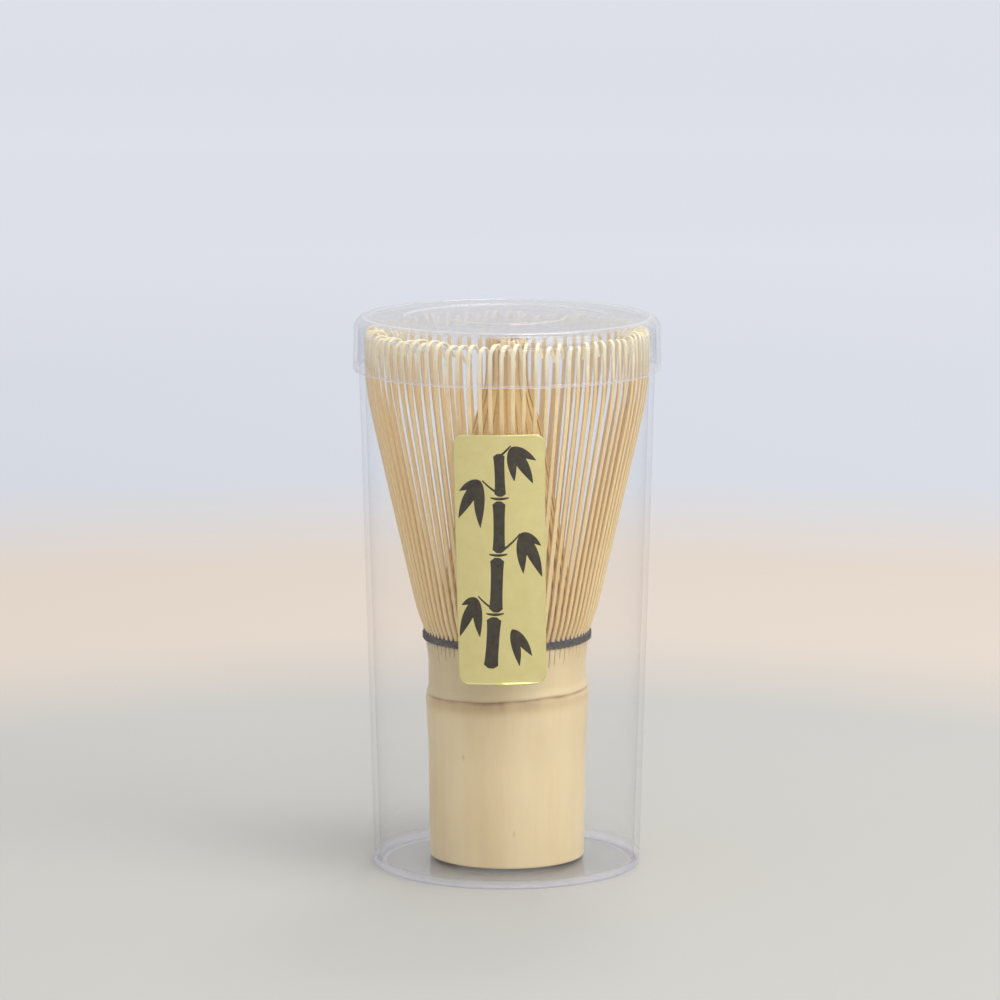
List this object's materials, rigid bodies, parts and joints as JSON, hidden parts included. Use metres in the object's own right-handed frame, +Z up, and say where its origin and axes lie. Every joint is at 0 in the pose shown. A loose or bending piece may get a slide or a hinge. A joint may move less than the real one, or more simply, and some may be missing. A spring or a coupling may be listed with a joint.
{
  "type": "bamboo tea whisk",
  "caption": "Bamboo tea whisk with flared outer tines, a bundled inner ring and a thread-bound collar, standing in a clear tapered case with a slip-on lid.",
  "frame": {"origin": "centre of the case's flat underside", "axes": "+Z up along the common axis of case, lid and whisk; -Y is the front, where the label is; +X to the right"},
  "size_m": [0.061, 0.061, 0.11],
  "materials": {
    "clear_plastic": "clear, polished",
    "gold_foil": "satin metallic foil",
    "bamboo": "smooth scraped bamboo",
    "bamboo_tine": "pared bamboo",
    "cotton_thread": "twisted cotton"
  },
  "bodies": {
    "case": {"case_cup": "clear_plastic", "foil_label": "gold_foil"},
    "whisk": {"handle": "bamboo", "binding_thread": "cotton_thread"},
    "lid": {"case_lid": "clear_plastic"},
    "outer_tines_01": {"outer_tines_01": "bamboo_tine"},
    "outer_tines_02": {"outer_tines_02": "bamboo_tine"},
    "outer_tines_03": {"outer_tines_03": "bamboo_tine"},
    "outer_tines_04": {"outer_tines_04": "bamboo_tine"},
    "outer_tines_05": {"outer_tines_05": "bamboo_tine"},
    "outer_tines_06": {"outer_tines_06": "bamboo_tine"},
    "outer_tines_07": {"outer_tines_07": "bamboo_tine"},
    "outer_tines_08": {"outer_tines_08": "bamboo_tine"},
    "outer_tines_09": {"outer_tines_09": "bamboo_tine"},
    "outer_tines_10": {"outer_tines_10": "bamboo_tine"},
    "outer_tines_11": {"outer_tines_11": "bamboo_tine"},
    "outer_tines_12": {"outer_tines_12": "bamboo_tine"},
    "outer_tines_13": {"outer_tines_13": "bamboo_tine"},
    "outer_tines_14": {"outer_tines_14": "bamboo_tine"},
    "outer_tines_15": {"outer_tines_15": "bamboo_tine"},
    "outer_tines_16": {"outer_tines_16": "bamboo_tine"},
    "inner_tines_01": {"inner_tines_01": "bamboo_tine"},
    "inner_tines_02": {"inner_tines_02": "bamboo_tine"},
    "inner_tines_03": {"inner_tines_03": "bamboo_tine"},
    "inner_tines_04": {"inner_tines_04": "bamboo_tine"},
    "inner_tines_05": {"inner_tines_05": "bamboo_tine"},
    "inner_tines_06": {"inner_tines_06": "bamboo_tine"},
    "inner_tines_07": {"inner_tines_07": "bamboo_tine"},
    "inner_tines_08": {"inner_tines_08": "bamboo_tine"}
  },
  "joints": [
    {"name": "whisk_lift", "type": "slide", "parent": "case", "child": "whisk", "axis": [0, 0, 1], "range_m": [0, 0.125]},
    {"name": "lid_lift", "type": "slide", "parent": "whisk", "child": "lid", "axis": [0, 0, 1], "range_m": [0, 0.04]},
    {"name": "outer_flex_01", "type": "hinge", "parent": "whisk", "child": "outer_tines_01", "pos_m": [0.01535, 0.00305, 0.0462], "axis": [0.1951, -0.9808, 0], "range_deg": [0, 3], "stiffness_Nm_per_rad": 0.02},
    {"name": "outer_flex_02", "type": "hinge", "parent": "whisk", "child": "outer_tines_02", "pos_m": [0.01301, 0.00869, 0.0462], "axis": [0.5556, -0.8315, 0], "range_deg": [0, 3], "stiffness_Nm_per_rad": 0.02},
    {"name": "outer_flex_03", "type": "hinge", "parent": "whisk", "child": "outer_tines_03", "pos_m": [0.00869, 0.01301, 0.0462], "axis": [0.8315, -0.5556, 0], "range_deg": [0, 3], "stiffness_Nm_per_rad": 0.02},
    {"name": "outer_flex_04", "type": "hinge", "parent": "whisk", "child": "outer_tines_04", "pos_m": [0.00305, 0.01535, 0.0462], "axis": [0.9808, -0.1951, 0], "range_deg": [0, 3], "stiffness_Nm_per_rad": 0.02},
    {"name": "outer_flex_05", "type": "hinge", "parent": "whisk", "child": "outer_tines_05", "pos_m": [-0.00305, 0.01535, 0.0462], "axis": [0.9808, 0.1951, 0], "range_deg": [0, 3], "stiffness_Nm_per_rad": 0.02},
    {"name": "outer_flex_06", "type": "hinge", "parent": "whisk", "child": "outer_tines_06", "pos_m": [-0.00869, 0.01301, 0.0462], "axis": [0.8315, 0.5556, 0], "range_deg": [0, 3], "stiffness_Nm_per_rad": 0.02},
    {"name": "outer_flex_07", "type": "hinge", "parent": "whisk", "child": "outer_tines_07", "pos_m": [-0.01301, 0.00869, 0.0462], "axis": [0.5556, 0.8315, 0], "range_deg": [0, 3], "stiffness_Nm_per_rad": 0.02},
    {"name": "outer_flex_08", "type": "hinge", "parent": "whisk", "child": "outer_tines_08", "pos_m": [-0.01535, 0.00305, 0.0462], "axis": [0.1951, 0.9808, 0], "range_deg": [0, 3], "stiffness_Nm_per_rad": 0.02},
    {"name": "outer_flex_09", "type": "hinge", "parent": "whisk", "child": "outer_tines_09", "pos_m": [-0.01535, -0.00305, 0.0462], "axis": [-0.1951, 0.9808, 0], "range_deg": [0, 3], "stiffness_Nm_per_rad": 0.02},
    {"name": "outer_flex_10", "type": "hinge", "parent": "whisk", "child": "outer_tines_10", "pos_m": [-0.01301, -0.00869, 0.0462], "axis": [-0.5556, 0.8315, 0], "range_deg": [0, 3], "stiffness_Nm_per_rad": 0.02},
    {"name": "outer_flex_11", "type": "hinge", "parent": "whisk", "child": "outer_tines_11", "pos_m": [-0.00869, -0.01301, 0.0462], "axis": [-0.8315, 0.5556, 0], "range_deg": [0, 3], "stiffness_Nm_per_rad": 0.02},
    {"name": "outer_flex_12", "type": "hinge", "parent": "whisk", "child": "outer_tines_12", "pos_m": [-0.00305, -0.01535, 0.0462], "axis": [-0.9808, 0.1951, 0], "range_deg": [0, 3], "stiffness_Nm_per_rad": 0.02},
    {"name": "outer_flex_13", "type": "hinge", "parent": "whisk", "child": "outer_tines_13", "pos_m": [0.00305, -0.01535, 0.0462], "axis": [-0.9808, -0.1951, 0], "range_deg": [0, 3], "stiffness_Nm_per_rad": 0.02},
    {"name": "outer_flex_14", "type": "hinge", "parent": "whisk", "child": "outer_tines_14", "pos_m": [0.00869, -0.01301, 0.0462], "axis": [-0.8315, -0.5556, 0], "range_deg": [0, 3], "stiffness_Nm_per_rad": 0.02},
    {"name": "outer_flex_15", "type": "hinge", "parent": "whisk", "child": "outer_tines_15", "pos_m": [0.01301, -0.00869, 0.0462], "axis": [-0.5556, -0.8315, 0], "range_deg": [0, 3], "stiffness_Nm_per_rad": 0.02},
    {"name": "outer_flex_16", "type": "hinge", "parent": "whisk", "child": "outer_tines_16", "pos_m": [0.01535, -0.00305, 0.0462], "axis": [-0.1951, -0.9808, 0], "range_deg": [0, 3], "stiffness_Nm_per_rad": 0.02},
    {"name": "inner_flex_01", "type": "hinge", "parent": "whisk", "child": "inner_tines_01", "pos_m": [0.01284, 0.00532, 0.0462], "axis": [-0.3827, 0.9239, 0], "range_deg": [0, 4], "stiffness_Nm_per_rad": 0.015},
    {"name": "inner_flex_02", "type": "hinge", "parent": "whisk", "child": "inner_tines_02", "pos_m": [0.00532, 0.01284, 0.0462], "axis": [-0.9239, 0.3827, 0], "range_deg": [0, 4], "stiffness_Nm_per_rad": 0.015},
    {"name": "inner_flex_03", "type": "hinge", "parent": "whisk", "child": "inner_tines_03", "pos_m": [-0.00532, 0.01284, 0.0462], "axis": [-0.9239, -0.3827, 0], "range_deg": [0, 4], "stiffness_Nm_per_rad": 0.015},
    {"name": "inner_flex_04", "type": "hinge", "parent": "whisk", "child": "inner_tines_04", "pos_m": [-0.01284, 0.00532, 0.0462], "axis": [-0.3827, -0.9239, 0], "range_deg": [0, 4], "stiffness_Nm_per_rad": 0.015},
    {"name": "inner_flex_05", "type": "hinge", "parent": "whisk", "child": "inner_tines_05", "pos_m": [-0.01284, -0.00532, 0.0462], "axis": [0.3827, -0.9239, 0], "range_deg": [0, 4], "stiffness_Nm_per_rad": 0.015},
    {"name": "inner_flex_06", "type": "hinge", "parent": "whisk", "child": "inner_tines_06", "pos_m": [-0.00532, -0.01284, 0.0462], "axis": [0.9239, -0.3827, 0], "range_deg": [0, 4], "stiffness_Nm_per_rad": 0.015},
    {"name": "inner_flex_07", "type": "hinge", "parent": "whisk", "child": "inner_tines_07", "pos_m": [0.00532, -0.01284, 0.0462], "axis": [0.9239, 0.3827, 0], "range_deg": [0, 4], "stiffness_Nm_per_rad": 0.015},
    {"name": "inner_flex_08", "type": "hinge", "parent": "whisk", "child": "inner_tines_08", "pos_m": [0.01284, -0.00532, 0.0462], "axis": [0.3827, 0.9239, 0], "range_deg": [0, 4], "stiffness_Nm_per_rad": 0.015}
  ]
}
